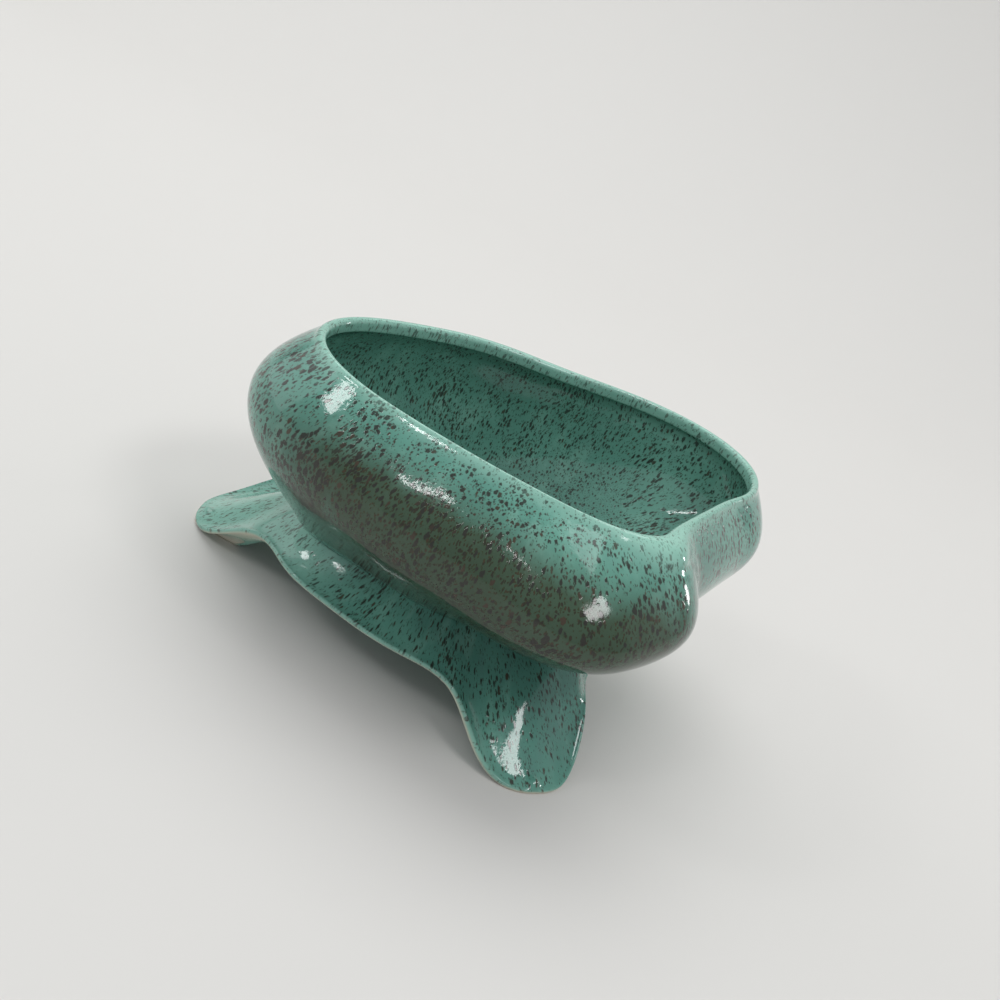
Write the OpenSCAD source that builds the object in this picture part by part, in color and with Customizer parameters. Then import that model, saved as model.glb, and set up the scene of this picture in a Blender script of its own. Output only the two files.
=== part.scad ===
// Footed planter: a three-cornered cushion-shaped bowl on a three-footed skirt stand.
// Millimetres, +Z up. The origin is on the table, under the middle of the outline.
// The broad bulging front faces -Y, the set-in end panel faces +X.

/* [Bowl] */
// Height of the rim above the table
rim_height = 103; // [92:1:112]
// Height of the seam where the bowl sits on the stand
seam_height = 32; // [29:1:36]
// Thickness of the bowl wall
bowl_wall = 4.5; // [3.5:0.5:5.5]
// Thickness of the bowl floor
floor_thickness = 5; // [4:0.5:7]
// Thickness of the rounded lip
lip_thickness = 4.2; // [3.4:0.2:5]
// Height of the upright face inside the lip
lip_depth = 5; // [4:0.5:6]

/* [Rim outline] */
// Reach of the rim from its middle, before the corners are added
rim_reach = 61; // [56:1:66]
// Extra reach of the left corner
rim_left_reach = 25; // [18:1:30]
// Extra reach of the front corner
rim_front_reach = 16; // [11:1:20]
// Extra reach of the back corner
rim_back_reach = 52; // [42:1:56]
// Move of the rim's middle to the right
rim_shift_x = 4; // [0:1:8]
// Move of the rim's middle to the front
rim_shift_front = 7; // [3:1:10]
// Direction of the left corner
rim_left_angle = 199; // [190:1:206]
// Direction of the front corner
rim_front_angle = 321; // [316:1:326]
// Direction of the back corner
rim_back_angle = 38; // [34:1:44]

/* [Bulge] */
// Bulge that runs all the way round
bulge_reach = 10; // [6:1:13]
// Extra bulge of the long front wall
front_wall_bulge = 18; // [12:1:22]
// Extra bulge of the nose at the front corner
nose_bulge = 18; // [10:1:21]
// Extra bulge of the back corner
back_bulge = 16; // [10:1:19]
// Extra bulge of the left end
left_bulge = 9; // [4:1:13]

/* [Neck] */
// Reach of the neck at the seam, before the corners are added
neck_reach = 49.5; // [47:0.5:53]
// Extra reach of the neck below each corner
neck_corner_reach = 18; // [14:1:19]
// Step in from the bowl to the stand at the seam
seam_step = 1.5; // [0.5:0.5:2.5]

/* [Place] */
// Move of the feet's middle to the left of the origin
place_left = 6; // [0:0.5:10]
// Move of the feet's middle behind the origin
place_back = 1; // [0:0.5:5]

/* [Stand] */
// Thickness of the stand at the seam
stand_wall = 4; // [3:0.5:5]
// Thickness of the skirt at its edge
edge_thickness = 2.2; // [1.6:0.2:3]
// Reach of the skirt's edge between the feet
skirt_reach = 64.5; // [62:0.5:69]
// Extra reach of the skirt in front of the left foot
front_skirt_reach = 7; // [0:1:9]
// Extra reach of the skirt below the end panel
panel_skirt_reach = 7; // [2:1:9]
// Extra reach of each foot
foot_reach = 35; // [28:1:38]
// Height of the rounded back along each foot
foot_crown = 6; // [3:1:8]
// Height of the skirt's upper edge between the feet
arch_height = 21; // [17:1:23]
// Height of the rounded edge at a foot's tip
toe_height = 1.6; // [1.2:0.2:2.4]
// Direction of the left foot
left_foot_angle = 186; // [182:1:190]
// Direction of the front foot
front_foot_angle = 312; // [308:1:316]
// Direction of the back foot
back_foot_angle = 71; // [67:1:75]

/* [Hidden] */
steps_round = 120;
rings_wall = 16;
rings_lip = 6;
rings_skirt = 12;
rim_left_spread = 35;
rim_front_spread = 30;
rim_back_spread = 32;
front_wall_angle = 283;
front_wall_spread = 88;
nose_angle = 302;
nose_spread = 17;
back_bulge_angle = 25;
back_bulge_spread = 18;
left_bulge_angle = 182;
left_bulge_spread = 24;
neck_left_angle = 208;
neck_left_spread = 26;
neck_front_angle = 329;
neck_front_spread = 21;
neck_back_angle = 18;
neck_back_spread = 40;
foot_spread = 20;
foot_power = 2.6;
toe_spread = 17;
crown_spread = 13;
crown_bias = 0.8;
front_skirt_angle = 221;
front_skirt_spread = 18;
panel_skirt_angle = 345;
panel_skirt_spread = 28;
bulge_rise = 1.12;
flare_power = 1.5;
lip_join_share = 0.86;
edge_round_share = 0.35;
probe_angle = 1;
probe_share = 0.004;
glaze_green = [0.45, 0.68, 0.60];
stand_green = [0.50, 0.72, 0.64];
cut_margin = rim_height;

// Plain helpers
function turn_from(angle, centre) = (angle - centre + 1620) % 360 - 180;
function lobe(angle, centre, spread) = exp(-pow(turn_from(angle, centre) / spread, 2));
function flat_lobe(angle, centre, spread) = exp(-pow(turn_from(angle, centre) / spread, 4));
function foot_lobe(angle, centre) = exp(-pow(abs(turn_from(angle, centre)) / foot_spread, foot_power));
function unit(v) = v / norm(v);
function soft_max(a, b, blend) = (a + b + sqrt(pow(a - b, 2) + pow(blend, 2))) / 2;

// Outlines, as a reach for each direction
function rim_at(angle) = rim_reach
    + rim_left_reach * lobe(angle, rim_left_angle, rim_left_spread)
    + rim_front_reach * lobe(angle, rim_front_angle, rim_front_spread)
    + rim_back_reach * lobe(angle, rim_back_angle, rim_back_spread);

function neck_at(angle) = neck_reach
    + neck_corner_reach * lobe(angle, neck_left_angle, neck_left_spread)
    + neck_corner_reach * lobe(angle, neck_front_angle, neck_front_spread)
    + neck_corner_reach * lobe(angle, neck_back_angle, neck_back_spread);

function bulge_at(angle) = bulge_reach
    + front_wall_bulge * lobe(angle, front_wall_angle, front_wall_spread)
    + nose_bulge * lobe(angle, nose_angle, nose_spread)
    + back_bulge * lobe(angle, back_bulge_angle, back_bulge_spread)
    + left_bulge * lobe(angle, left_bulge_angle, left_bulge_spread);

function skirt_edge_at(angle) = skirt_reach
    + foot_reach * foot_lobe(angle, left_foot_angle)
    + foot_reach * foot_lobe(angle, front_foot_angle)
    + foot_reach * foot_lobe(angle, back_foot_angle)
    + front_skirt_reach * lobe(angle, front_skirt_angle, front_skirt_spread)
    + panel_skirt_reach * lobe(angle, panel_skirt_angle, panel_skirt_spread);

function crown_at(angle) = foot_crown
    * (lobe(angle, left_foot_angle, crown_spread)
    + lobe(angle, front_foot_angle, crown_spread)
    + lobe(angle, back_foot_angle, crown_spread));

function skirt_edge_height(angle) = toe_height + (arch_height - toe_height)
    * (1 - flat_lobe(angle, left_foot_angle, toe_spread))
    * (1 - flat_lobe(angle, front_foot_angle, toe_spread))
    * (1 - flat_lobe(angle, back_foot_angle, toe_spread));

// Bowl: share 0 is the seam, share 1 the shoulder just under the lip
wall_top = rim_height - lip_thickness / 2;

function bowl_reach(angle, share) =
    neck_at(angle) + (rim_at(angle) - neck_at(angle)) * share
    + bulge_at(angle) * sin(180 * pow(share, bulge_rise));

function bowl_point(angle, share) = [
    rim_shift_x * share + bowl_reach(angle, share) * cos(angle),
    -rim_shift_front * share + bowl_reach(angle, share) * sin(angle),
    seam_height + (wall_top - seam_height) * share];

function bowl_normal(angle, share) = unit(cross(
    bowl_point(angle + probe_angle, share) - bowl_point(angle - probe_angle, share),
    bowl_point(angle, share + probe_share) - bowl_point(angle, max(0, share - probe_share))));

function bowl_inner_point(angle, share) =
    let (p = bowl_point(angle, share) - bowl_wall * bowl_normal(angle, share))
    [p.x, p.y, soft_max(p.z, seam_height + floor_thickness, floor_thickness / 4)];

function lip_point(angle, swing) =
    let (reach = rim_at(angle) - lip_thickness / 2 * (1 - cos(swing)))
    [rim_shift_x + reach * cos(angle), -rim_shift_front + reach * sin(angle),
        wall_top + lip_thickness / 2 * sin(swing)];

function lip_foot_point(angle) =
    let (reach = rim_at(angle) - lip_thickness)
    [rim_shift_x + reach * cos(angle), -rim_shift_front + reach * sin(angle),
        rim_height - lip_depth];

// Stand: share 0 is the seam, share 1 the edge of the skirt
function skirt_reach_at(angle, share) =
    let (top = neck_at(angle) - seam_step)
    top + (skirt_edge_at(angle) - top) * share;

function skirt_point(angle, share) = [
    skirt_reach_at(angle, share) * cos(angle),
    skirt_reach_at(angle, share) * sin(angle),
    skirt_edge_height(angle)
        + (seam_height - skirt_edge_height(angle)) * pow(1 - share, flare_power)
        + crown_at(angle) * sin(180 * pow(share, crown_bias))];

function skirt_normal(angle, share) = unit(cross(
    skirt_point(angle + probe_angle, share) - skirt_point(angle - probe_angle, share),
    skirt_point(angle, max(0, share - probe_share))
        - skirt_point(angle, min(1, share + probe_share))));

function skirt_inner_point(angle, share) =
    let (wall = stand_wall + (edge_thickness - stand_wall) * share,
        p = skirt_point(angle, share) - wall * skirt_normal(angle, share))
    share == 0 ? [(skirt_reach_at(angle, 0) - stand_wall) * cos(angle),
        (skirt_reach_at(angle, 0) - stand_wall) * sin(angle), seam_height] : p;

function skirt_edge_point(angle) =
    let (a = skirt_point(angle, 1), b = skirt_inner_point(angle, 1))
    (a + b) / 2 + edge_thickness * edge_round_share * [cos(angle), sin(angle), 0];

// A closed skin through a list of rings that have the same number of points
module skin(rings, closed_loop) {
    n = len(rings[0]);
    m = len(rings);
    points = [for (ring = rings) each ring];
    last = closed_loop ? m : m - 1;
    sides = [for (i = [0 : last - 1], j = [0 : n - 1])
        let (a = i * n + j, b = i * n + (j + 1) % n,
            c = ((i + 1) % m) * n + (j + 1) % n, d = ((i + 1) % m) * n + j)
        each [[a, c, b], [a, d, c]]];
    bottom = [for (j = [0 : n - 1]) j];
    top = [for (j = [n - 1 : -1 : 0]) (m - 1) * n + j];
    polyhedron(points = points,
        faces = closed_loop ? sides : concat(sides, [bottom, top]), convexity = 10);
}

function round_angles() = [for (j = [0 : steps_round - 1]) 360 * j / steps_round];

module bowl() {
    angles = round_angles();
    outer = [for (i = [0 : rings_wall]) [for (a = angles) bowl_point(a, i / rings_wall)]];
    lip = [for (i = [1 : rings_lip]) [for (a = angles) lip_point(a, 180 * i / rings_lip)]];
    inner = [for (i = [rings_wall : -1 : 0])
        [for (a = angles) bowl_inner_point(a, lip_join_share * i / rings_wall)]];
    color(glaze_green)
    translate([-place_left, place_back, 0])
    skin(concat(outer, lip, [[for (a = angles) lip_foot_point(a)]], inner), false);
}

module stand() {
    angles = round_angles();
    outer = [for (i = [rings_skirt : -1 : 0])
        [for (a = angles) skirt_point(a, i / rings_skirt)]];
    inner = [for (i = [0 : rings_skirt])
        [for (a = angles) skirt_inner_point(a, i / rings_skirt)]];
    color(stand_green)
    translate([-place_left, place_back, 0])
    difference() {
        skin(concat(outer, inner, [[for (a = angles) skirt_edge_point(a)]]), true);
        translate([-cut_margin * 2, -cut_margin * 2, -cut_margin])
            cube([cut_margin * 4, cut_margin * 4, cut_margin]);
    }
}

bowl();
stand();
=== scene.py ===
"""Dresses the footed planter: a three-cornered cushion bowl on a three-footed skirt stand,
in a speckled glaze."""

import math

import bmesh
import bpy
import numpy as np
from bpy.props import FloatProperty, FloatVectorProperty, IntProperty, PointerProperty
from mathutils import Matrix, Vector


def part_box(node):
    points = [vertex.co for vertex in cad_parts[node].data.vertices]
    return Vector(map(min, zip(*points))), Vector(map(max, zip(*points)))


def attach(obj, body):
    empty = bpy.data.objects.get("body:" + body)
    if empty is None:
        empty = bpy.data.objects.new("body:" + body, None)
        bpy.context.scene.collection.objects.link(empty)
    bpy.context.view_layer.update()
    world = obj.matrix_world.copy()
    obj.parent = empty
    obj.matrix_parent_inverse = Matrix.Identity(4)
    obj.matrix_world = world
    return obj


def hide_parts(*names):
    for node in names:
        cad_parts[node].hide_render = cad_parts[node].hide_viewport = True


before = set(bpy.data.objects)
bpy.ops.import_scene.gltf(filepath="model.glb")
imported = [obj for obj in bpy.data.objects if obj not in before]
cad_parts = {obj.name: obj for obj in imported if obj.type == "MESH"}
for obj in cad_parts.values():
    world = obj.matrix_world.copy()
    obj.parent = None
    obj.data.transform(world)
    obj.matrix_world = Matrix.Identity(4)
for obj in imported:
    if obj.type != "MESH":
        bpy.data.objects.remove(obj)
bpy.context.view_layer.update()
BOWL_LOW, BOWL_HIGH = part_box("bowl")

bl_info = {
    "name": "Footed planter",
    "version": (1, 0, 0),
    "blender": (4, 5, 0),
    "location": "View3D > Sidebar > Planter",
    "description": "Builds a glazed freeform planter on a footed stand, with its studio",
    "category": "Object",
}

# shares of a wall's height: where it starts to roll into the lip, and where it ends inside
LIP_START, INNER_TOP = 0.93, 0.86
# how far each ring under the bowl and on its floor reaches, as shares of the outermost
UNDER_RINGS = (0.02, 0.3, 0.6, 0.9, 0.97)
FLOOR_RINGS = (0.9, 0.7, 0.45, 0.2, 0.02)
# rings down the lip's inner face, as shares of its depth, then reach out and drop in metres
LIP_FACE_RINGS = (0.6, 0.8, 0.95)
UNDERCUT_RINGS = ((0.0003, 0.0052), (0.0011, 0.0057), (0.0022, 0.0062))
WALL_STEPS, INNER_STEPS, SKIRT_STEPS, SKIRT_INNER_STEPS = 40, 36, 34, 26
SHOULDER_STEPS, LIP_STEPS, EDGE_STEPS = 10, 5, 6
# the finer rings stand a hair proud of the CAD's facets, so they are drawn in by this share
SKIN_SHARE = 0.997
# height of one ring of a plain tube, before it is laid on its skin
TUBE_STEP = 0.01
# small steps, round and up, that give a skin's slope
PROBE_TURN, PROBE_RISE = math.radians(1), 0.004
# power of a lobe with a flat top, and of a squarish one
FLAT_TOP, SQUARISH = 6, 4
# keeps a straight line from running away where it is seen end on
LEAST_COSINE = 0.3
# the rim's straight part lies a little before the panel's middle and is a little wider, and
# the line that the flat panel copies stands a little past that middle
RIM_PANEL_TURN, RIM_PANEL_WIDER, PANEL_LINE_TURN = (math.radians(k) for k in (7, 6, 4))
# where the wall rolls into the lip: the middle and half width of the long front wall
ROLL_MIDDLE, ROLL_HALF = math.radians(282), math.radians(72)
# the glaze's flow: reach of the flat map on the bowl and on the stand
BOWL_FLOW_REACH, STAND_FLOW_REACH = 0.082, 0.078
# the noise patterns in the glaze, in waves per metre
WAVER, CLUMPS, DRIFTS, CLOUDS, SMOKE, PEEL, GRAIN, SHEEN = 900, 55, 22, 75, 120, 260, 1500, 90
# how far that waver moves a speckle's outline
WAVER_REACH = 0.0014
LAMP_DISTANCE = 1.5


def length(name, text, mm):
    return FloatProperty(
        name=name,
        description=text,
        default=mm / 1000,
        min=0,
        unit="LENGTH",
        subtype="DISTANCE",
        precision=4,
    )


def turn(name, text, degrees):
    return FloatProperty(
        name=name,
        description=text,
        default=math.radians(degrees),
        unit="ROTATION",
        subtype="ANGLE",
    )


def share(name, text, value, most=4.0):
    return FloatProperty(name=name, description=text, default=value, min=0, max=most)


def colour(name, text, value):
    return FloatVectorProperty(
        name=name, description=text, default=value, size=3, min=0, max=1, subtype="COLOR"
    )


class PlanterPlace(bpy.types.PropertyGroup):
    """What the bowl and the stand share: the neck where they meet, and their place"""

    seam_height: length("Seam height", "Height where the bowl meets the stand", BOWL_LOW.z * 1000)
    neck_reach: length("Neck reach", "Reach of the neck before its corners are added", 49.5)
    neck_corner_reach: length("Neck corners", "Extra reach of the neck below each corner", 18)
    neck_left_angle: turn("Neck, left", "Direction of the neck's left corner", 208)
    neck_left_spread: turn("Neck, left spread", "Width of the neck's left corner", 26)
    neck_front_angle: turn("Neck, front", "Direction of the neck's front corner", 329)
    neck_front_spread: turn("Neck, front spread", "Width of the neck's front corner", 21)
    neck_back_angle: turn("Neck, back", "Direction of the neck's back corner", 18)
    neck_back_spread: turn("Neck, back spread", "Width of the neck's back corner", 40)
    place_left: length("Place, left", "Move of the neck's middle to the left of the origin", 6)
    place_back: length("Place, back", "Move of the neck's middle behind the origin", 1)


class BowlSizes(bpy.types.PropertyGroup):
    """Sizes of the bowl"""

    rim_height: length("Rim height", "Height of the rim above the table", BOWL_HIGH.z * 1000)
    wall: length("Wall", "Thickness of the wall", 4.5)
    floor_thickness: length("Floor", "Thickness of the floor", 5)
    lip_thickness: length("Lip", "Thickness of the rounded lip", 4.2)
    lip_depth: length("Lip depth", "Height of the upright face inside the lip", 5)
    lip_blend: share("Lip blend", "How smoothly the long front wall rolls into the lip", 0.75, 1)
    rim_reach: length("Rim reach", "Reach of the rim before its corners are added", 61)
    rim_left_reach: length("Left corner", "Extra reach of the rim's left corner", 25)
    rim_left_angle: turn("Left corner at", "Direction of the rim's left corner", 199)
    rim_left_spread: turn("Left corner spread", "Width of the rim's left corner", 35)
    rim_front_reach: length("Front corner", "Extra reach of the rim's front corner", 16)
    rim_front_angle: turn("Front corner at", "Direction of the rim's front corner", 321)
    rim_front_spread: turn("Front corner spread", "Width of the rim's front corner", 30)
    rim_back_reach: length("Back corner", "Extra reach of the rim's back corner", 52)
    rim_back_angle: turn("Back corner at", "Direction of the rim's back corner", 38)
    rim_back_spread: turn("Back corner spread", "Width of the rim's back corner", 32)
    panel_angle: turn("End panel faces", "Direction that the flat end panel faces", 339)
    panel_distance: length("End panel", "Distance of the rim's straight end", 73.7)
    panel_middle: turn("End panel at", "Direction of the panel's middle", 357)
    panel_half: turn("End panel half", "Half width of the panel below the rim", 19)
    rim_shift_x: length("Rim shift", "Move of the rim's middle to the right", 4)
    rim_shift_front: length("Rim shift, front", "Move of the rim's middle to the front", 7)
    bulge_reach: length("Bulge", "Bulge that runs all the way round", 10)
    front_wall_bulge: length("Front bulge", "Extra bulge of the long front wall", 18)
    front_wall_angle: turn("Front bulge at", "Direction of the long front wall's bulge", 283)
    front_wall_spread: turn("Front bulge spread", "Width of the long front wall's bulge", 88)
    nose_bulge: length("Nose bulge", "Extra bulge of the nose at the front corner", 16.7)
    nose_angle: turn("Nose at", "Direction of the nose", 300)
    nose_spread: turn("Nose spread", "Width of the nose", 17.4)
    back_bulge: length("Back bulge", "Extra bulge of the back corner", 16)
    back_bulge_angle: turn("Back bulge at", "Direction of the back corner's bulge", 25)
    back_bulge_spread: turn("Back bulge spread", "Width of the back corner's bulge", 18)
    left_bulge: length("Left bulge", "Extra bulge of the left end", 9)
    left_bulge_angle: turn("Left bulge at", "Direction of the left end's bulge", 182)
    left_bulge_spread: turn("Left bulge spread", "Width of the left end's bulge", 24)
    bulge_rise: share("Bulge rise", "How high on the wall the bulge is fullest", 1.12)
    crest_reach: length("Crest", "Height of the soft crest that runs down the nose", 4)
    crest_angle: turn("Crest at", "Direction of the crest", 326.3)
    crest_front_spread: turn("Crest, front", "Width of the crest's slope to the nose", 13)
    crest_back_spread: turn("Crest, back", "Width of the crest's slope to the end panel", 8.5)
    steps_round: IntProperty(name="Steps round", description="Points on each ring", default=360)


class StandSizes(bpy.types.PropertyGroup):
    """Sizes of the stand"""

    wall: length("Wall", "Thickness of the stand at the seam", 4)
    edge_thickness: length("Edge", "Thickness of the skirt at its edge", 2.2)
    seam_step: length("Seam step", "Step in from the bowl to the stand", 1.5)
    skirt_reach: length("Skirt", "Reach of the skirt's edge between the feet", 64.5)
    front_skirt_reach: length("Front skirt", "Extra reach in front of the left foot", 7)
    front_skirt_angle: turn("Front skirt at", "Direction of that extra reach", 221)
    front_skirt_spread: turn("Front skirt spread", "Width of that extra reach", 18)
    panel_skirt_reach: length("Panel skirt", "Extra reach below the end panel", 7)
    panel_skirt_angle: turn("Panel skirt at", "Direction of that extra reach", 345)
    panel_skirt_spread: turn("Panel skirt spread", "Width of that extra reach", 28)
    foot_reach: length("Feet", "Extra reach of each foot", 35)
    foot_spread: turn("Foot spread", "Width of each foot", 20)
    foot_power: share("Foot squareness", "How square each foot's tip is", 2.6, 8)
    foot_crown: length("Foot crown", "Height of the rounded back along each foot", 6)
    crown_spread: turn("Crown spread", "Width of the rounded back of a foot", 13)
    crown_bias: share("Crown bias", "How near the bowl the rounded back is highest", 0.8)
    arch_height: length("Arch", "Height of the skirt's edge between the feet", 21)
    toe_height: length("Toe", "Height of the rounded edge at a foot's tip", 1.6)
    toe_spread: turn("Toe spread", "Width of the low edge at a foot's tip", 17)
    flare_power: share("Flare", "How quickly the skirt flares out", 1.5)
    left_foot_angle: turn("Left foot at", "Direction of the left foot", 186)
    front_foot_angle: turn("Front foot at", "Direction of the front foot", 312)
    back_foot_angle: turn("Back foot at", "Direction of the back foot", 71)
    curl_start: turn("Curl start", "Turn from the left foot to where its low wall starts", 5.5)
    curl_end: turn("Curl end", "Turn from the left foot to where its low wall ends", 24)
    nub_height: length("Nub", "Height of the glaze nubs on two feet", 2.5)
    nub_width: length("Nub width", "Half width of those nubs", 2.2)
    nub_turn_front: turn("Nub, front", "Turn of the front foot's nub from its middle", -0.5)
    nub_turn_left: turn("Nub, left", "Turn of the left foot's nub from its middle", 3)
    nub_out_front: share("Nub out, front", "How far out the front foot's nub is", 0.955, 1)
    nub_out_left: share("Nub out, left", "How far out the left foot's nub is", 0.93, 1)
    steps_round: IntProperty(name="Steps round", description="Points on each ring", default=480)


class GlazeLook(bpy.types.PropertyGroup):
    """Colours and pattern of the speckled glaze"""

    green: colour("Green", "Main colour of the glaze", (0.118, 0.315, 0.25))
    pooled: colour("Pooled green", "Colour where the glaze lies thick", (0.07, 0.215, 0.172))
    # The pale colour of thin glaze, also used as painted light: on the lip's inner face, over the
    # inside of the bowl, on the stand's left side, and as a highlight along the nose's crest
    thin_and_lit: colour("Thin glaze", "Colour where the glaze is thin on edges", (0.28, 0.52, 0.43))
    # The brown haze's colour, made dark enough to also paint the shade low under the front bulge,
    # and used as painted shade under the lip inside
    haze_and_shade: colour("Haze", "Brown haze where many speckles have melted", (0.026, 0.031, 0.006))
    smoke: colour("Smoke", "Grey-blue clouds in the glaze", (0.085, 0.150, 0.145))
    speck: colour("Speckle", "Colour of most speckles", (0.020, 0.019, 0.016))
    rust: colour("Rusty speckle", "Colour of some speckles", (0.050, 0.031, 0.019))
    clay: colour("Clay", "Colour of the clay where it shows", (0.66, 0.60, 0.48))
    speck_size: length("Speckle size", "Distance between large speckles", 1.75)
    stretch: share("Stretch", "How far the speckles run down the wall", 2.0)


class StudioSetup(bpy.types.PropertyGroup):
    """Camera, lamps and floor"""

    eye: FloatVectorProperty(
        name="Camera place",
        description="Place of the camera",
        default=(0.001656, -0.425624, 0.264),
        size=3,
        unit="LENGTH",
        subtype="TRANSLATION",
    )
    look_down: turn("Look down", "How far the camera looks down", 25.4)
    roll: turn("Roll", "How far the camera is rolled", 27.6)
    lens: FloatProperty(name="Lens", description="Focal length in millimetres", default=43.2)
    floor_colour: colour("Floor", "Colour of the floor and backdrop", (0.62, 0.61, 0.59))
    backdrop_distance: length("Backdrop", "Distance of the backdrop behind the origin", 1100)


# ---------------------------------------------------------------- shapes


def turn_from(angle, centre):
    return (angle - centre + math.pi) % (2 * math.pi) - math.pi


def cosine_from(angle, centre):
    return np.maximum(np.cos(turn_from(angle, centre)), LEAST_COSINE)


def lobe(angle, centre, spread, power=2.0):
    return np.exp(-((np.abs(turn_from(angle, centre)) / spread) ** power))


def smooth(low, high, value):
    t = np.clip((value - low) / (high - low), 0, 1)
    return t * t * (3 - 2 * t)


def soft_max(a, b, blend):
    return (a + b + np.sqrt((a - b) ** 2 + blend**2)) / 2


def at(reach, angle, height, middle=(0.0, 0.0)):
    return np.stack(
        [
            middle[0] + reach * np.cos(angle),
            middle[1] + reach * np.sin(angle),
            height + 0 * reach,
        ],
        -1,
    )


def unit(v):
    return v / np.linalg.norm(v, axis=-1, keepdims=True)


def neck_at(p, angle):
    return p.neck_reach + p.neck_corner_reach * (
        lobe(angle, p.neck_left_angle, p.neck_left_spread)
        + lobe(angle, p.neck_front_angle, p.neck_front_spread)
        + lobe(angle, p.neck_back_angle, p.neck_back_spread)
    )


def rim_at(b, angle):
    """Reach of the rim: three soft corners, with one straight part above the end panel"""
    round_rim = (
        b.rim_reach
        + b.rim_left_reach * lobe(angle, b.rim_left_angle, b.rim_left_spread)
        + b.rim_front_reach * lobe(angle, b.rim_front_angle, b.rim_front_spread)
        + b.rim_back_reach * lobe(angle, b.rim_back_angle, b.rim_back_spread)
    )
    straight = b.panel_distance / cosine_from(angle, b.panel_angle)
    middle = b.panel_middle - RIM_PANEL_TURN
    along = lobe(angle, middle, b.panel_half + RIM_PANEL_WIDER, FLAT_TOP)
    return round_rim + (straight - round_rim) * along


def bulge_at(b, angle):
    return (
        b.bulge_reach
        + b.front_wall_bulge * lobe(angle, b.front_wall_angle, b.front_wall_spread)
        + b.nose_bulge * lobe(angle, b.nose_angle, b.nose_spread)
        + b.back_bulge * lobe(angle, b.back_bulge_angle, b.back_bulge_spread)
        + b.left_bulge * lobe(angle, b.left_bulge_angle, b.left_bulge_spread)
    )


def crest_at(b, angle, rise):
    """Soft crest down the nose, which fades out below and under the lip"""
    fade = smooth(0.45, 0.75, rise) * (1 - smooth(0.9, 1.0, rise))
    aside = turn_from(angle, b.crest_angle)
    slope = np.where(aside < 0, b.crest_front_spread, b.crest_back_spread)
    return fade * b.crest_reach * np.exp(-((aside / slope) ** 2))


def bowl_point(p, b, angle, rise, detail=True):
    """The outer wall at a share of its height. Detail adds the crest"""
    full = math.sin(math.pi * max(rise, 0) ** b.bulge_rise)
    neck = neck_at(p, angle)
    reach = neck + (rim_at(b, angle) - neck) * rise + bulge_at(b, angle) * full

    # the end panel is flat: the reach of one line near its middle, carried straight across
    mark = np.array([b.panel_middle + PANEL_LINE_TURN])
    level = neck_at(p, mark) * (1 - rise) + rim_at(b, mark) * rise + bulge_at(b, mark) * full
    straight = level * np.cos(mark - b.panel_angle)
    straight = straight / cosine_from(angle, b.panel_angle)
    flat = lobe(angle, b.panel_middle, b.panel_half, FLAT_TOP) * smooth(0.12, 0.4, rise)
    reach = reach + (straight - reach) * flat
    if detail:
        reach = reach + crest_at(b, angle, rise)
    wall_top = b.rim_height - b.lip_thickness / 2
    height = p.seam_height + (wall_top - p.seam_height) * rise
    return at(reach, angle, height, (b.rim_shift_x * rise, -b.rim_shift_front * rise))


def bowl_inner_point(p, b, angle, rise):
    def plain(turned, height):
        return bowl_point(p, b, turned, height, detail=False)

    along = plain(angle + PROBE_TURN, rise) - plain(angle - PROBE_TURN, rise)
    up = plain(angle, rise + PROBE_RISE) - plain(angle, max(0.0, rise - PROBE_RISE))
    point = plain(angle, rise) - b.wall * unit(np.cross(along, up))
    floor = p.seam_height + b.floor_thickness
    point[:, 2] = soft_max(point[:, 2], floor, b.floor_thickness / 4)
    return point


def lip_point(p, b, angle, swing):
    """Half round of the lip, from its outer side over the top"""
    middle = (b.rim_shift_x, -b.rim_shift_front)
    half = b.lip_thickness / 2
    reach = rim_at(b, angle) - half * (1 - math.cos(swing))
    return at(reach, angle, b.rim_height - half + half * math.sin(swing), middle)


def shoulder_point(p, b, angle, way):
    """From the wall, way 0, to the top of the lip, way 1. The long front wall and the nose
    roll over in one curve, and elsewhere the lip stands up as a small bead"""
    leave = 0.006
    wall = bowl_point(p, b, angle, LIP_START)
    climb = unit(wall - bowl_point(p, b, angle, LIP_START - leave))
    top = lip_point(p, b, angle, math.pi / 2)
    left = np.maximum(b.rim_height - wall[:, 2:], 0) * 0.9
    turning = wall + climb * left / np.maximum(climb[:, 2:], 0.2)
    ledge = lobe(angle, b.crest_angle, b.crest_front_spread * 1.2)[:, None]
    turning = turning + (wall + left * [0, 0, 1] - turning) * 0.85 * ledge
    rolled = wall * (1 - way) ** 2 + turning * 2 * way * (1 - way) + top * way**2
    if way < 0.5:
        beaded = bowl_point(p, b, angle, LIP_START + (1 - LIP_START) * way * 2)
    else:
        beaded = lip_point(p, b, angle, math.pi * (way - 0.5))
    roll = b.lip_blend * lobe(angle, ROLL_MIDDLE, ROLL_HALF, FLAT_TOP)[:, None]
    roll = np.maximum(roll, ledge)
    return beaded + (rolled - beaded) * (0.15 + 0.85 * roll)


def foot_angles(s):
    return s.left_foot_angle, s.front_foot_angle, s.back_foot_angle


def skirt_edge_at(s, angle):
    feet = sum(lobe(angle, foot, s.foot_spread, s.foot_power) for foot in foot_angles(s))
    return (
        s.skirt_reach
        + s.foot_reach * feet
        + s.front_skirt_reach * lobe(angle, s.front_skirt_angle, s.front_skirt_spread)
        + s.panel_skirt_reach * lobe(angle, s.panel_skirt_angle, s.panel_skirt_spread)
    )


def skirt_edge_height(s, angle):
    between = 1.0
    for foot in foot_angles(s):
        between = between * (1 - lobe(angle, foot, s.toe_spread, SQUARISH))
    return s.toe_height + (s.arch_height - s.toe_height) * between


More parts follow.
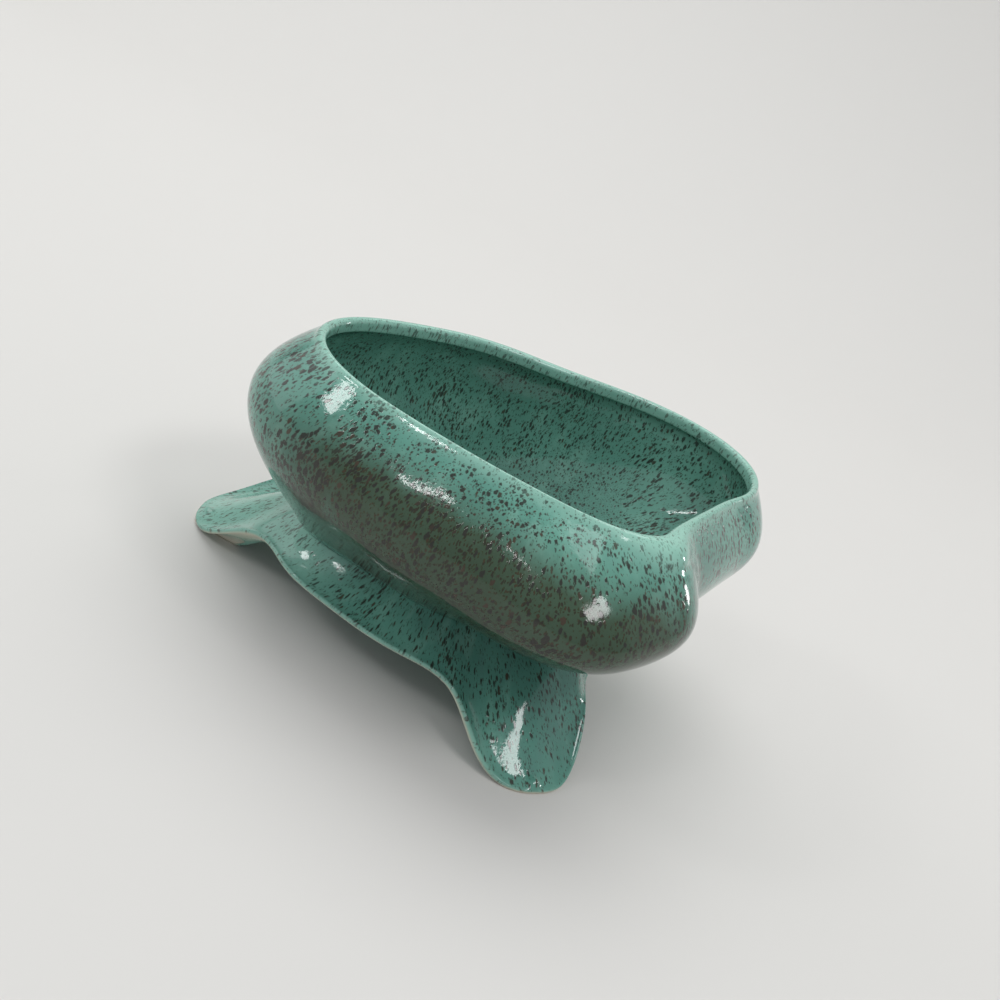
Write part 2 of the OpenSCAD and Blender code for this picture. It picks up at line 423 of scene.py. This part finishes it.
def skirt_point(p, s, angle, out):
    """The skirt's upper side at a share of its way from the seam to its edge"""
    top = neck_at(p, angle) - s.seam_step
    reach = top + (skirt_edge_at(s, angle) - top) * out
    edge = skirt_edge_height(s, angle)
    crown = s.foot_crown * sum(lobe(angle, foot, s.crown_spread) for foot in foot_angles(s))
    height = (
        edge
        + (p.seam_height - edge) * max(1 - out, 0) ** s.flare_power
        + crown * math.sin(math.pi * min(out, 1) ** s.crown_bias)
    )
    return at(reach, angle, height)


def skirt_inner_point(p, s, angle, out):
    wall = s.wall + (s.edge_thickness - s.wall) * out
    if out == 0:
        return at(neck_at(p, angle) - s.seam_step - s.wall, angle, p.seam_height)
    after, before = angle + PROBE_TURN, angle - PROBE_TURN
    higher, lower = max(0.0, out - PROBE_RISE), min(1.0, out + PROBE_RISE)
    along = skirt_point(p, s, after, out) - skirt_point(p, s, before, out)
    up = skirt_point(p, s, angle, higher) - skirt_point(p, s, angle, lower)
    return skirt_point(p, s, angle, out) - wall * unit(np.cross(along, up))


# ---------------------------------------------------------------- modelling


def nothing_selected():
    if bpy.context.object and bpy.context.object.mode != "OBJECT":
        bpy.ops.object.mode_set(mode="OBJECT")
    bpy.ops.object.select_all(action="DESELECT")


def drawn_up(name, steps, rings):
    """A circle drawn up ring by ring into a plain tube of the given number of rings"""
    nothing_selected()
    bpy.ops.mesh.primitive_circle_add(vertices=steps, radius=0.1, fill_type="NOTHING")
    piece = bpy.context.object
    piece.name = piece.data.name = name
    bpy.ops.object.mode_set(mode="EDIT")
    bpy.ops.mesh.select_mode(type="EDGE")
    bpy.ops.mesh.select_all(action="SELECT")
    for _ in range(rings - 1):
        bpy.ops.mesh.extrude_edges_move(TRANSFORM_OT_translate={"value": (0, 0, TUBE_STEP)})
    bpy.ops.object.mode_set(mode="OBJECT")
    return piece


def laid_on(piece, rings):
    """Moves each ring of a plain tube onto its place on the skin. Returns the ring and the
    step of each point"""
    steps = len(rings[0])
    mesh = piece.data
    co = np.zeros(len(mesh.vertices) * 3, np.float32)
    mesh.vertices.foreach_get("co", co)
    co = co.reshape(-1, 3)
    row = np.rint(co[:, 2] / TUBE_STEP).astype(int)
    col = np.rint(np.arctan2(co[:, 1], co[:, 0]) / (2 * math.pi) * steps).astype(int) % steps
    skin = np.stack(rings)
    mesh.vertices.foreach_set("co", skin[row, col].astype(np.float32).ravel())
    mesh.update()
    return row, col


def choose_edges(piece, wanted):
    """In edit mode, selects the edges that pass a test and no others"""
    bpy.ops.mesh.select_all(action="DESELECT")
    edit = bmesh.from_edit_mesh(piece.data)
    ring = edit.verts.layers.int.get("row")
    for edge in edit.edges:
        edge.select = wanted(edge, ring)
    bmesh.update_edit_mesh(piece.data)


def close_ends(piece, rows, wanted):
    """Fills, or joins to each other, the open loops of a tube"""
    nothing_selected()
    bpy.context.view_layer.objects.active = piece
    piece.select_set(True)
    bpy.ops.object.mode_set(mode="EDIT")
    bpy.ops.mesh.select_mode(type="EDGE")
    loops = ((0,), (rows - 1,)) if wanted == "fill" else ((0, rows - 1),)
    for ends in loops:
        choose_edges(
            piece,
            lambda edge, ring: edge.is_boundary and all(v[ring] in ends for v in edge.verts),
        )
        if wanted == "fill":
            bpy.ops.mesh.edge_face_add()
        else:
            bpy.ops.mesh.bridge_edge_loops()
    bpy.ops.mesh.select_all(action="SELECT")
    bpy.ops.mesh.normals_make_consistent(inside=False)
    bpy.ops.object.mode_set(mode="OBJECT")


def keep(piece, name, kind, values):
    layer = piece.data.attributes.new(name, kind, "POINT")
    word = "vector" if kind == "FLOAT_VECTOR" else "value"
    layer.data.foreach_set(word, np.ascontiguousarray(values, np.float32).ravel())


def skinned(name, rings, ends):
    """A closed piece whose skin runs through the rings, with each point's ring and step"""
    piece = drawn_up(name, len(rings[0]), len(rings))
    row, col = laid_on(piece, rings)
    mark = piece.data.attributes.new("row", "INT", "POINT")
    mark.data.foreach_set("value", row.astype(np.int32))
    close_ends(piece, len(rings), ends)
    return piece, row, col


def run_down(rings, start):
    """Distance down the skin from one ring, along each line of points"""
    skin = np.stack(rings)
    step = np.linalg.norm(np.diff(skin, axis=0), axis=-1)
    total = np.concatenate([np.zeros((1, skin.shape[1])), np.cumsum(step, 0)])
    return total - total[start]


def finish_piece(piece, node, material):
    nothing_selected()
    piece.select_set(True)
    bpy.context.view_layer.objects.active = piece
    bpy.ops.object.shade_smooth()
    piece.data.materials.clear()
    piece.data.materials.append(material)
    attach(piece, "root")
    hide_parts(node)


def in_place(p, rings):
    """Rings moved from the neck's middle to their place, and drawn in to stay in the CAD box"""
    return [(ring + shift_of(p)) * [SKIN_SHARE, SKIN_SHARE, 1] for ring in rings]


def shift_of(p):
    return np.array([-p.place_left, p.place_back, 0])


def ring_angles(steps):
    return np.arange(steps) * 2 * math.pi / steps


# ---------------------------------------------------------------- glaze


class Recipe:
    """Adds nodes to one material, each linked as it is made"""

    def __init__(self, name):
        self.material = bpy.data.materials.new(name)
        self.material.use_nodes = True
        self.tree = self.material.node_tree
        self.tree.nodes.clear()
        self.column = 0

    def put(self, kind, links=None, values=None, **settings):
        node = self.tree.nodes.new(kind)
        node.location = (self.column * 180, -(self.column % 7) * 160)
        self.column += 1
        for key, value in settings.items():
            setattr(node, key, value)
        for key, value in (values or {}).items():
            node.inputs[key].default_value = value
        for key, source in (links or {}).items():
            self.tree.links.new(source, node.inputs[key])
        return node

    def feed(self, node, key, value):
        """Links an output to an input, or sets the input to a number or a colour"""
        if isinstance(value, bpy.types.NodeSocket):
            self.tree.links.new(value, node.inputs[key])
        elif isinstance(value, (int, float)):
            node.inputs[key].default_value = value
        else:
            node.inputs[key].default_value = (*value, 1)

    def sum(self, kind, a, b, c=None, clamp=False):
        node = self.put("ShaderNodeMath", operation=kind, use_clamp=clamp)
        for k, value in enumerate((a, b, c)):
            if value is not None:
                self.feed(node, k, value)
        return node.outputs[0]

    def times(self, a, b, clamp=False):
        return self.sum("MULTIPLY", a, b, clamp=clamp)

    def ramp(self, value, low, high, out_low=0.0, out_high=1.0):
        node = self.put(
            "ShaderNodeMapRange",
            interpolation_type="SMOOTHSTEP",
            values={"To Min": out_low, "To Max": out_high},
        )
        for key, source in (("Value", value), ("From Min", low), ("From Max", high)):
            self.feed(node, key, source)
        return node.outputs["Result"]

    def mix(self, share_of_b, a, b):
        node = self.put("ShaderNodeMix", data_type="RGBA", blend_type="MIX")
        for k, value in ((0, share_of_b), (6, a), (7, b)):
            self.feed(node, k, value)
        return node.outputs[2]

    def kept(self, name, output="Fac"):
        """A value that the mesh keeps for each of its points"""
        return self.put("ShaderNodeAttribute", attribute_name=name).outputs[output]

    def noise(self, vector, scale, detail=2.0, rough=0.5):
        node = self.put(
            "ShaderNodeTexNoise",
            links={"Vector": vector},
            values={"Scale": scale, "Detail": detail, "Roughness": rough},
        )
        return node.outputs["Fac"]


def speckled_glaze(name, look, density=1.0):
    """A glossy green glaze with melted brown speckles that run with the flow. The mesh keeps flow,
    a flat map of the skin; how pale each point is, from thinner glaze and from painted light; how
    much brown haze and painted shade it has; how speckled it is; and how bare"""
    r = Recipe(name)
    flow = r.kept("flow", "Vector")
    thin_and_lit, haze_and_shade, clay, many = (r.kept(word) for word in ("thin_and_lit", "haze_and_shade", "clay", "many"))
    spot = r.put("ShaderNodeTexCoord").outputs["Object"]

    # the speckles' outlines waver a little
    wave = r.put(
        "ShaderNodeTexNoise", links={"Vector": flow}, values={"Scale": WAVER, "Detail": 2}
    ).outputs["Color"]
    centred = r.put(
        "ShaderNodeVectorMath", operation="SUBTRACT", links={0: wave}, values={1: (0.5, 0.5, 0.5)}
    ).outputs[0]
    nudge = r.put(
        "ShaderNodeVectorMath", operation="SCALE", links={0: centred}, values={"Scale": WAVER_REACH}
    ).outputs[0]
    place = r.put("ShaderNodeVectorMath", operation="ADD", links={0: flow, 1: nudge}).outputs[0]

    clump = r.noise(flow, CLUMPS, 3, 0.6)
    drift = r.noise(spot, DRIFTS, 2)

    def specks(spacing, low, high):
        """Body, halo and hue of one size of speckle, from the cells of a Voronoi pattern. A
        speckle's radius is a share of the spacing between low and high"""
        cells = r.put(
            "ShaderNodeTexVoronoi",
            feature="F1",
            links={"Vector": place},
            values={"Scale": 1 / spacing, "Randomness": 1.0},
        )
        away = cells.outputs["Distance"]
        own = r.put("ShaderNodeSeparateColor", links={0: cells.outputs["Color"]})
        size = r.sum("MULTIPLY_ADD", own.outputs[0], high - low, low)
        size = r.times(size, r.ramp(clump, 0.33, 0.68, 0.72, 1.14))
        size = r.times(size, many)
        inner = r.sum("SUBTRACT", size, 0.05)
        body = r.ramp(away, r.sum("ADD", size, 0.04), inner)
        halo = r.ramp(away, r.sum("ADD", size, 0.2), inner)
        return body, halo, own.outputs[1]

    large, large_halo, large_hue = specks(look.speck_size, 0.14, 0.47)
    fine, fine_halo, fine_hue = specks(look.speck_size * 0.5, 0.14, 0.46)

    # the ground: green, with thick and thin places, clouds, brown haze with painted shade, and the
    # pale edges with painted light
    ground = r.mix(r.ramp(drift, 0.3, 0.75), look.green, look.pooled)
    cloudy = r.ramp(r.noise(flow, CLOUDS, 4, 0.6), 0.5, 0.72, 0.0, 0.3)
    ground = r.mix(cloudy, ground, look.thin_and_lit)
    smoky = r.ramp(r.noise(flow, SMOKE, 4, 0.65), 0.52, 0.75, 0.0, 0.24)
    ground = r.mix(smoky, ground, look.smoke)
    # brown haze, its darkness partly painted shade under the bulge, and painted shade under the lip
    # inside
    haze_and_shade_share = r.times(haze_and_shade, r.ramp(clump, 0.25, 0.7, 0.68, 1.0), clamp=True)
    haze_and_shade_share = r.times(haze_and_shade_share, r.ramp(fine_halo, 0.0, 1.0, 0.82, 1.0))
    ground = r.mix(haze_and_shade_share, ground, look.haze_and_shade)
    ground = r.mix(r.times(large_halo, 0.32 * density), ground, look.haze_and_shade)
    # pale thin glaze, partly painted light: the lip's inner face, the inside, the stand's left side
    # and a highlight along the crest
    paler = r.times(thin_and_lit, r.ramp(clump, 0.1, 0.6, 0.7, 1.0), clamp=True)
    ground = r.mix(paler, ground, look.thin_and_lit)

    # the speckles, fainter on thin glaze and where light is painted, and the clay where the glaze
    # ends
    large_colour = r.mix(r.ramp(large_hue, 0.7, 1.0), look.speck, look.rust)
    fine_colour = r.mix(r.ramp(fine_hue, 0.45, 0.9), look.speck, look.rust)
    less = r.sum("SUBTRACT", 1.0, r.times(thin_and_lit, 0.5), clamp=True)
    skin = r.mix(r.times(r.times(fine, 0.72 * density), less), ground, fine_colour)
    skin = r.mix(r.times(r.times(large, 0.9 * density), less), skin, large_colour)
    skin = r.mix(clay, skin, look.clay)

    # orange-peel surface, with speckles that stand a little proud
    peel = r.noise(spot, PEEL, 3, 0.55)
    grain = r.noise(spot, GRAIN, 2)
    height = r.sum("MULTIPLY_ADD", large, 0.35, peel)
    height = r.sum("ADD", height, r.times(clay, r.times(grain, 1.5)))
    bump = r.put(
        "ShaderNodeBump", links={"Height": height}, values={"Strength": 0.12, "Distance": 0.0006}
    )
    gloss = r.ramp(r.noise(spot, SHEEN, 3), 0.3, 0.8, 0.045, 0.11)
    gloss = r.sum("ADD", gloss, r.times(clay, 0.55), clamp=True)
    gloss = r.sum("ADD", gloss, r.times(haze_and_shade_share, 0.04), clamp=True)
    shader = r.put(
        "ShaderNodeBsdfPrincipled",
        links={"Base Color": skin, "Roughness": gloss, "Normal": bump.outputs[0]},
        values={"IOR": 1.5, "Specular IOR Level": 0.5},
    )
    r.put("ShaderNodeOutputMaterial", links={"Surface": shader.outputs[0]})
    return r.material


def plain_paint(name, value, roughness):
    r = Recipe(name)
    spot = r.put("ShaderNodeTexCoord").outputs["Object"]
    cloud = r.noise(spot, 3, 3)
    skin = r.mix(r.ramp(cloud, 0.3, 0.7, 0.0, 0.06), value, tuple(v * 0.9 for v in value))
    shader = r.put(
        "ShaderNodeBsdfPrincipled",
        links={"Base Color": skin},
        values={"Roughness": roughness, "Specular IOR Level": 0.2},
    )
    r.put("ShaderNodeOutputMaterial", links={"Surface": shader.outputs[0]})
    return r.material


# ---------------------------------------------------------------- operators


def bowl_rings(p, b, angle):
    """Rings of the bowl's skin: out below it, up the wall, over the lip, and down to the middle
    of the floor. Returns them, the number of the ring on top of the lip, and that middle"""
    middle = (b.rim_shift_x, -b.rim_shift_front)
    face = rim_at(b, angle) - b.lip_thickness
    under = [at(neck_at(p, angle) * k, angle, p.seam_height) for k in UNDER_RINGS]
    outer = [
        bowl_point(p, b, angle, LIP_START * k / WALL_STEPS) for k in range(WALL_STEPS + 1)
    ]
    outer += [
        shoulder_point(p, b, angle, k / SHOULDER_STEPS) for k in range(1, SHOULDER_STEPS + 1)
    ]
    lip = [
        lip_point(p, b, angle, math.pi * (0.5 + k / LIP_STEPS / 2))
        for k in range(1, LIP_STEPS + 1)
    ]
    foot = [at(face, angle, b.rim_height - b.lip_depth * k, middle) for k in LIP_FACE_RINGS]
    foot += [at(face + out, angle, b.rim_height - drop, middle) for out, drop in UNDERCUT_RINGS]
    inner = [
        bowl_inner_point(p, b, angle, INNER_TOP * k / INNER_STEPS)
        for k in range(INNER_STEPS, -1, -1)
    ]
    edge = inner[-1]
    centre = edge.mean(0) * [1, 1, 0] + [0, 0, 1] * edge[:, 2:].mean(0)
    floor = [centre + (edge - centre) * k for k in FLOOR_RINGS]
    return under + outer + lip + foot + inner + floor, len(under) + len(outer) - 1, centre


def coat_bowl(piece, p, b, look, place, turned, down, centre):
    """Keeps on each point the values that the glaze reads. Place is where each point is,
    turned its direction, and down its distance along the skin from the top of the lip, which
    is negative on the outside"""
    inside, outside = down > 0, down < 0
    rise = (place[:, 2] - p.seam_height) / (b.rim_height - p.seam_height)
    at_panel = lobe(turned, 0.0, 0.5, SQUARISH)
    at_front = lobe(turned, math.radians(277), math.radians(55), SQUARISH)
    at_left = lobe(turned, math.radians(215), math.radians(30))

    # a flat map, in which the speckles are long down the wall and smaller inside
    reach = np.linalg.norm(place[:, :2] - centre[:2] - shift_of(p)[:2], axis=-1)
    wide = np.minimum(BOWL_FLOW_REACH, reach)
    runny = look.stretch * (1 + 0.45 * np.maximum(inside, at_panel))
    apart = np.where(inside, 0.3, 0.0)
    flow = [wide * np.cos(turned), wide * np.sin(turned), np.abs(down) / runny + apart]
    denser = np.where(inside, 1.6, 1 + 0.3 * at_panel)
    keep(piece, "flow", "FLOAT_VECTOR", np.stack(flow, -1) * denser[:, None])

    # pale: thin glaze on the lip and on the crisp edge below the lip's inner face; on the nose's
    # crest, partly thin glaze and partly a painted highlight
    rim_band = np.exp(-((down / 0.0042) ** 2))
    crest = lobe(turned, b.crest_angle - 0.1, b.crest_back_spread * 1.6)
    crest = crest * smooth(0.86, 0.97, rise)
    # brow: the lip's inner face is painted lighter, as the lit side above the painted shade under
    # the lip, with a pale line of thin glaze on its crisp lower edge
    brow = 0.5 * inside * (1 - smooth(0.0066, 0.0076, down))
    brow = brow + 0.4 * np.exp(-(((down - 0.0064) / 0.0008) ** 2))
    pale = 0.85 * rim_band + 0.8 * crest * outside + brow * (1 - rim_band)
    # painted light: the whole inside below the lip is made a little paler, standing in for the
    # light that falls in
    pale = np.maximum(pale, 0.16 * (down > 0.0076))
    keep(piece, "thin_and_lit", "FLOAT", np.clip(pale, 0, 1))

    # brown haze low on the front, dark enough to also paint the shade under the bulge, and a line
    # of painted shade, a little brown, under the lip inside
    low = (1 - smooth(0.68, 0.94, rise)) * smooth(0.0, 0.06, rise)
    shade_under_lip = 0.5 * np.exp(-(((down - 0.0105) / 0.0036) ** 2))
    keep(piece, "haze_and_shade", "FLOAT", np.where(outside, at_front * low * 1.5, shade_under_lip))

    many_outside = 0.98 + 0.25 * at_front * (1 - rise) + 0.12 * at_left + 0.05 * at_panel
    many_inside = 1.05 - 0.1 * smooth(0.8, 1, rise)
    keep(piece, "many", "FLOAT", np.where(outside, many_outside, many_inside))
    keep(piece, "clay", "FLOAT", np.zeros(len(down)))


class PLANTER_OT_bowl(bpy.types.Operator):
    """Draw the three-cornered bowl with its rolled-in lip, and glaze it"""

    bl_idname = "planter.bowl"
    bl_label = "Bowl"

    def execute(self, context):
        scene = context.scene
        p, b, look = scene.planter_place, scene.planter_bowl, scene.planter_glaze
        angle = ring_angles(b.steps_round)
        rings, top, centre = bowl_rings(p, b, angle)
        rings = in_place(p, rings)
        piece, row, col = skinned("glazed_bowl", rings, "fill")
        place = np.stack(rings)[row, col]
        down = run_down(rings, top)[row, col]
        coat_bowl(piece, p, b, look, place, angle[col], down, centre)
        finish_piece(piece, "bowl", speckled_glaze("bowl_glaze_look", look))
        return {"FINISHED"}


def stand_rings(p, s, angle):
    """Rings of the stand's skin: down the skirt, round its edge and up inside. Returns them
    in their place, and the number of the ring in the middle of the edge"""
    outer = [skirt_point(p, s, angle, k / SKIRT_STEPS) for k in range(SKIRT_STEPS + 1)]
    inner = [
        skirt_inner_point(p, s, angle, k / SKIRT_INNER_STEPS)
        for k in range(SKIRT_INNER_STEPS, -1, -1)
    ]
    above, below = outer[-1], inner[0]
    outward = np.stack([np.cos(angle), np.sin(angle), 0 * angle], -1)
    edge = [
        (above + below) / 2
        + (above - below) / 2 * math.cos(swing)
        + outward * s.edge_thickness * 0.35 * math.sin(swing)
        for swing in (math.pi * k / EDGE_STEPS for k in range(1, EDGE_STEPS))
    ]
    rings = in_place(p, outer + edge + inner)
    curl_under(p, s, angle, rings, len(outer) + len(edge))
    for ring in rings:
        ring[:, 2] = np.maximum(ring[:, 2], 0)
    brim = len(outer) + len(edge) // 2
    raise_nubs(p, s, rings[:brim])
    return rings, brim


def curl_under(p, s, angle, rings, first):
    """Beside the left foot a low wall leaves the edge and runs in under the skirt. It is three
    rings, from the first one on: its foot's outer side, and the line where it meets the table"""
    beside = turn_from(angle, s.left_foot_angle)
    curl = smooth(0.3, 0.9, beside / s.curl_start) * (1 - smooth(0.8, 1.1, beside / s.curl_end))
    under = angle - 0.7 * np.maximum(beside - s.curl_start, 0)
    for k, (drawn_in, height) in enumerate(((0, 0.0018), (0, 0), (0.0016, 0))):
        low = at(skirt_edge_at(s, angle) - drawn_in, under, height) + shift_of(p)
        rings[first + k] += (low - rings[first + k]) * curl[:, None]


def raise_nubs(p, s, rings):
    """A small glaze nub near the tip of the front foot and of the left foot"""
    for turned, out in (
        (s.front_foot_angle + s.nub_turn_front, s.nub_out_front),
        (s.left_foot_angle + s.nub_turn_left, s.nub_out_left),
    ):
        spot = skirt_point(p, s, np.array([turned]), out)[0] + shift_of(p)
        for ring in rings:
            away = np.linalg.norm(ring - spot, axis=-1)
            ring[:, 2] += s.nub_height * np.exp(-((away / s.nub_width) ** 2))


def coat_stand(piece, look, height, turned, down, from_brim, from_low):
    """Keeps on each point the values that the glaze reads. Down, from_brim and from_low are
    its distance along the skin from the seam, from the middle of the edge and from two rings
    below that"""
    wide = STAND_FLOW_REACH
    flow = [wide * np.cos(turned), wide * np.sin(turned), down / look.stretch / 1.3 + 0.6]
    keep(piece, "flow", "FLOAT_VECTOR", 1.2 * np.stack(flow, -1))

    brim_line = np.exp(-((from_brim / 0.0011) ** 2))
    # the stand's left side is paler: partly paler glaze, partly a painted sheen where light falls
    # on that side
    paler = 0.55 * lobe(turned, math.radians(202), math.radians(36), SQUARISH)
    keep(piece, "thin_and_lit", "FLOAT", np.clip(np.maximum(0.6 * brim_line, paler), 0, 1))
    keep(piece, "haze_and_shade", "FLOAT", np.zeros(len(down)))
    keep(piece, "many", "FLOAT", np.where(from_brim > 0, 0.6, 0.92))

    # bare clay where the feet rest, in a thin line along the edge, and low inside the edge
    resting = 1 - smooth(0.0004, 0.0016, height)
    bare_line = np.exp(-((from_low / 0.0006) ** 2))
    lower_lip = smooth(0.0006, 0.0012, from_brim) * (1 - smooth(0.003, 0.0045, from_brim))
    lower_lip = 0.85 * lower_lip * (1 - smooth(0.001, 0.0035, height))
    bare = np.maximum(np.maximum(resting, 0.8 * bare_line), lower_lip)
    keep(piece, "clay", "FLOAT", bare)


class PLANTER_OT_stand(bpy.types.Operator):
    """Draw the flared stand with its three feet, and glaze it"""

    bl_idname = "planter.stand"
    bl_label = "Stand"

    def execute(self, context):
        scene = context.scene
        p, s, look = scene.planter_place, scene.planter_stand, scene.planter_glaze
        angle = ring_angles(s.steps_round)
        rings, brim = stand_rings(p, s, angle)
        piece, row, col = skinned("glazed_stand", rings, "bridge")
        height = np.stack(rings)[row, col][:, 2]
        ways = (run_down(rings, start)[row, col] for start in (0, brim, brim + 2))
        coat_stand(piece, look, height, angle[col], *ways)
        glaze = speckled_glaze("stand_glaze_look", look, density=0.95)
        finish_piece(piece, "stand", glaze)
        return {"FINISHED"}


class PLANTER_OT_studio(bpy.types.Operator):
    """Set up the pale floor, the backdrop, the soft lamps and the camera"""

    bl_idname = "planter.studio"
    bl_label = "Studio"

    def execute(self, context):
        studio = context.scene.planter_studio
        nothing_selected()
        bpy.ops.mesh.primitive_plane_add(size=1)
        floor = context.object
        floor.name = "studio_floor"
        back, front = studio.backdrop_distance, 3
        bpy.ops.object.mode_set(mode="EDIT")
        bpy.ops.mesh.select_all(action="SELECT")
        bpy.ops.transform.resize(value=(6, front + back, 1))
        bpy.ops.transform.translate(value=(0, (back - front) / 2, 0))
        bpy.ops.mesh.select_mode(type="EDGE")
        choose_edges(floor, lambda edge, _: all(v.co.y > back - 0.01 for v in edge.verts))
        bpy.ops.mesh.extrude_edges_move(TRANSFORM_OT_translate={"value": (0, 0, 2.5)})
        choose_edges(
            floor,
            lambda edge, _: all(v.co.y > back - 0.01 and abs(v.co.z) < 0.01 for v in edge.verts),
        )
        bpy.ops.mesh.bevel(offset=0.5, segments=16, affect="EDGES")
        bpy.ops.object.mode_set(mode="OBJECT")
        bpy.ops.object.shade_smooth()
        floor.data.materials.append(plain_paint("studio_paint", tuple(studio.floor_colour), 0.8))

        world = bpy.data.worlds.new("studio_air")
        context.scene.world = world
        world.use_nodes = True
        air = world.node_tree.nodes["Background"]
        air.inputs["Color"].default_value = (0.94, 0.97, 1, 1)
        air.inputs["Strength"].default_value = 0.48

        # each lamp: its way from the aim, the line its height lies along, size and watts
        aim = Vector((0, -0.01, 0.05))
        for name, way, along, wide, tall, power in (
            ("sky_panel", (-0.12, 0.40, 0.91), (0, 1, 0), 1.5, 1.5, 16.5),
            ("right_panel", (0.90, 0.30, 0.35), (0, 0, 1), 1.4, 1.2, 0.8),
            ("left_panel", (-0.93, 0.15, 0.35), (0, 0, 1), 1.2, 1.2, 4.0),
            ("front_window", (-0.34, -0.56, 0.75), (0.2, 0.1, 0.18), 0.04, 0.42, 1.1),
            ("foot_window", (0.43, -0.32, 0.845), (0.14, 0.42, 0.03), 0.26, 0.62, 5.0),
            ("left_window", (-0.75, -0.34, 0.57), (0, 0, 1), 0.24, 0.26, 2.2),
            ("nose_window", (0.78, 0.58, 0.22), (0, 0, 1), 0.10, 0.24, 1.2),
        ):
            way = Vector(way).normalized()
            side = Vector(along).cross(way).normalized()
            facing = Matrix((side, way.cross(side), way)).transposed().to_4x4()
            bpy.ops.object.light_add(type="AREA")
            lamp = context.object
            lamp.name = name
            lamp.matrix_world = Matrix.Translation(aim + way * LAMP_DISTANCE) @ facing
            lamp.data.shape = "RECTANGLE"
            lamp.data.size, lamp.data.size_y = wide, tall
            lamp.data.energy = power

        down, roll = studio.look_down, studio.roll
        ahead = Vector((0, math.cos(down), -math.sin(down)))
        level_right, level_up = Vector((1, 0, 0)), Vector((0, math.sin(down), math.cos(down)))
        right = level_right * math.cos(roll) + level_up * math.sin(roll)
        up = level_up * math.cos(roll) - level_right * math.sin(roll)
        bpy.ops.object.camera_add()
        camera = context.object
        camera.name = "studio_camera"
        turned = Matrix((right, up, -ahead)).transposed().to_4x4()
        camera.matrix_world = Matrix.Translation(Vector(studio.eye)) @ turned
        camera.data.sensor_width = 36
        camera.data.lens = studio.lens
        camera.data.clip_start, camera.data.clip_end = 0.01, 20
        context.scene.camera = camera
        context.scene.view_settings.view_transform = "Standard"
        return {"FINISHED"}


class PLANTER_PT_panel(bpy.types.Panel):
    """Lists the planter's pieces"""

    bl_idname = "PLANTER_PT_panel"
    bl_label = "Planter"
    bl_space_type = "VIEW_3D"
    bl_region_type = "UI"
    bl_category = "Planter"

    def draw(self, context):
        column = self.layout.column()
        for made in OPERATORS:
            column.operator(made.bl_idname)
        for group in GROUPS:
            sizes = getattr(context.scene, group)
            box = self.layout.box()
            for name in sizes.__annotations__:
                box.prop(sizes, name)


GROUPS = {
    "planter_place": PlanterPlace,
    "planter_bowl": BowlSizes,
    "planter_stand": StandSizes,
    "planter_glaze": GlazeLook,
    "planter_studio": StudioSetup,
}
OPERATORS = (PLANTER_OT_bowl, PLANTER_OT_stand, PLANTER_OT_studio)


def register():
    for name, group in GROUPS.items():
        bpy.utils.register_class(group)
        setattr(bpy.types.Scene, name, PointerProperty(type=group))
    for made in (*OPERATORS, PLANTER_PT_panel):
        bpy.utils.register_class(made)


def unregister():
    for made in (PLANTER_PT_panel, *reversed(OPERATORS)):
        bpy.utils.unregister_class(made)
    for name, group in reversed(GROUPS.items()):
        delattr(bpy.types.Scene, name)
        bpy.utils.unregister_class(group)


def main():
    register()
    bpy.ops.planter.studio()
    bpy.ops.planter.bowl()
    bpy.ops.planter.stand()


if __name__ == "__main__":
    main()
